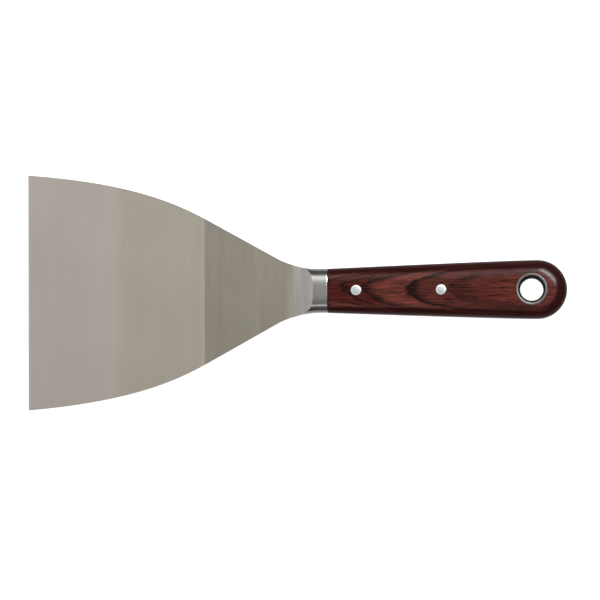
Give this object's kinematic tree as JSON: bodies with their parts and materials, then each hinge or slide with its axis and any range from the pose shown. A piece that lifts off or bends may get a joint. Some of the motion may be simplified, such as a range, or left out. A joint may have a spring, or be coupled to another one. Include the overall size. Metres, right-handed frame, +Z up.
{
  "type": "bench scraper",
  "caption": "Forged bench scraper: a fan-shaped steel blade with an oval bolster and full tang, riveted between two dark-red laminated wood scales, with a lined hanging hole.",
  "frame": {"origin": "on the bench, under the middle of the tool's bounding box, with the tool lying on its cutting edge and the underside of its bolster", "axes": "+X from the cutting edge towards the butt of the handle, +Y across the blade, +Z up from the bench"},
  "size_m": [0.261, 0.1142, 0.0218],
  "materials": {
    "blade_steel": "satin, belt-ground across the blade, polished bolster",
    "laminated_wood": "glossy lacquered laminate",
    "rivet_metal": "brushed flush with the wood",
    "liner_steel": "polished"
  },
  "bodies": {
    "root": {"blade_forging": "blade_steel", "upper_scale": "laminated_wood", "lower_scale": "laminated_wood", "front_rivet_female": "rivet_metal", "front_rivet_male": "rivet_metal", "rear_rivet_female": "rivet_metal", "rear_rivet_male": "rivet_metal", "hang_hole_liner": "liner_steel"}
  },
  "joints": []
}
